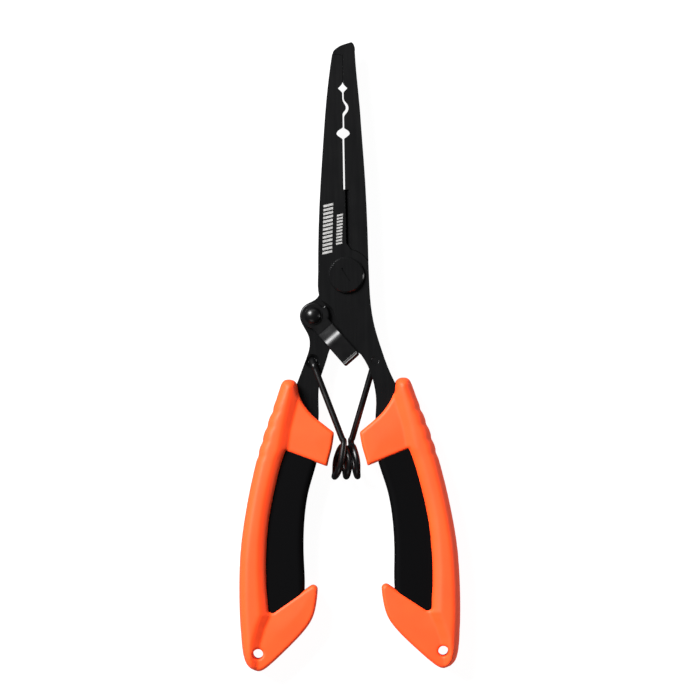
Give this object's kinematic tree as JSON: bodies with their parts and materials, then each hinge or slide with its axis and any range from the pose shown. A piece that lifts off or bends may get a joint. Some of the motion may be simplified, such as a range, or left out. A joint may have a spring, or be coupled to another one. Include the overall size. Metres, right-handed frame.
{
  "type": "fishing pliers",
  "caption": "Long flat-nosed fishing pliers: crimp notches, line cutter, split-ring tooth, wire return spring, swinging latch and C-shaped two-colour grips",
  "frame": {"origin": "centre of the pivot nut's flat back face, on the pivot axis, in the plane the pliers lie on", "axes": "+Y from the handles to the jaw tip, +Z out of the screw-head side, +X towards the back half's jaw (the right-hand jaw seen from the screw side)"},
  "size_m": [0.0707, 0.2004, 0.013],
  "materials": {
    "black_steel": "satin black coated steel",
    "gloss_black_metal": "glossy black plated steel",
    "bright_steel": "plain steel washers",
    "orange_grip": "bright orange soft-touch overmould, fine matt grain",
    "black_core": "matt black moulded plastic"
  },
  "bodies": {
    "back_frame": {"back_half": "black_steel", "pivot_screw": "black_steel", "pivot_nut": "black_steel", "spring_washer": "bright_steel", "thrust_washer": "bright_steel", "latch_rivet": "gloss_black_metal", "latch_washer": "bright_steel", "left_grip": "orange_grip", "left_core": "black_core", "return_spring": "gloss_black_metal"},
    "front_frame": {"front_half": "black_steel", "right_grip": "orange_grip", "right_core": "black_core"},
    "latch": {"latch_lever": "gloss_black_metal"}
  },
  "joints": [
    {"name": "handle_pivot", "type": "hinge", "parent": "back_frame", "child": "front_frame", "pos_m": [0, 0, 0.0065], "axis": [0, 0, 1], "range_deg": [0, 27], "deforming": ["return_spring"]},
    {"name": "latch_swing", "type": "hinge", "parent": "back_frame", "child": "latch", "pos_m": [-0.01085, -0.01277, 0.0075], "axis": [0, 0, 1], "range_deg": [-30, 0]}
  ]
}
